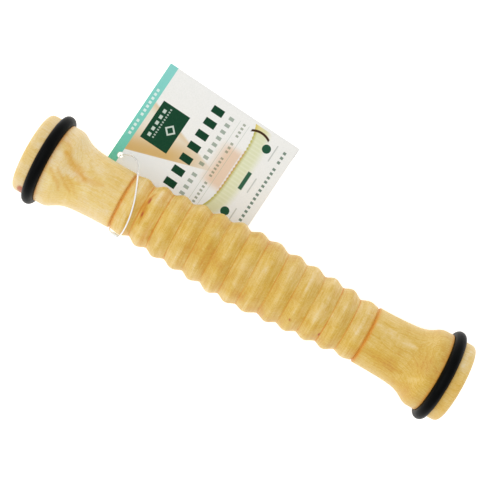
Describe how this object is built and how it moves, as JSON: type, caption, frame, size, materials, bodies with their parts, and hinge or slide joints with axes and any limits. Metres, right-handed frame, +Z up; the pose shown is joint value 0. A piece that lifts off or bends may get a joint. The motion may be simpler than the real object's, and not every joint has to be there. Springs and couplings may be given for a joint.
{
  "type": "foot massage roller",
  "caption": "Hand-length turned-wood roller with a ribbed, barrel-shaped middle and a rubber ring at each flared end, rolled under the foot on the floor; a hang tag is looped round its neck.",
  "frame": {"origin": "on the floor, under the middle of the roller, which lies on its two rubber rings", "axes": "+X along the roller's axis of turning, towards the end away from the hang tag; +Z up from the floor; the tag lies on the +Y side"},
  "size_m": [0.28, 0.1141, 0.0568],
  "materials": {
    "wood": "satin oiled hardwood",
    "rubber": "satin black rubber",
    "card": "printed and varnished card",
    "nylon": "clear nylon"
  },
  "bodies": {
    "roller": {"roller_body": "wood", "rubber_ring_left": "rubber", "rubber_ring_right": "rubber"},
    "loop": {"tag_loop": "nylon", "loop_lock": "nylon"},
    "tag": {"hang_tag": "card"}
  },
  "joints": [
    {"name": "loop_turn", "type": "hinge", "parent": "roller", "child": "loop", "pos_m": [0, 0, 0.0284], "axis": [1, 0, 0], "continuous": true},
    {"name": "tag_swing", "type": "hinge", "parent": "loop", "child": "tag", "pos_m": [-0.0969, 0.0229, 0.0032], "axis": [0.0038, 0.0454, 0.999], "range_deg": [-50, 90]}
  ]
}
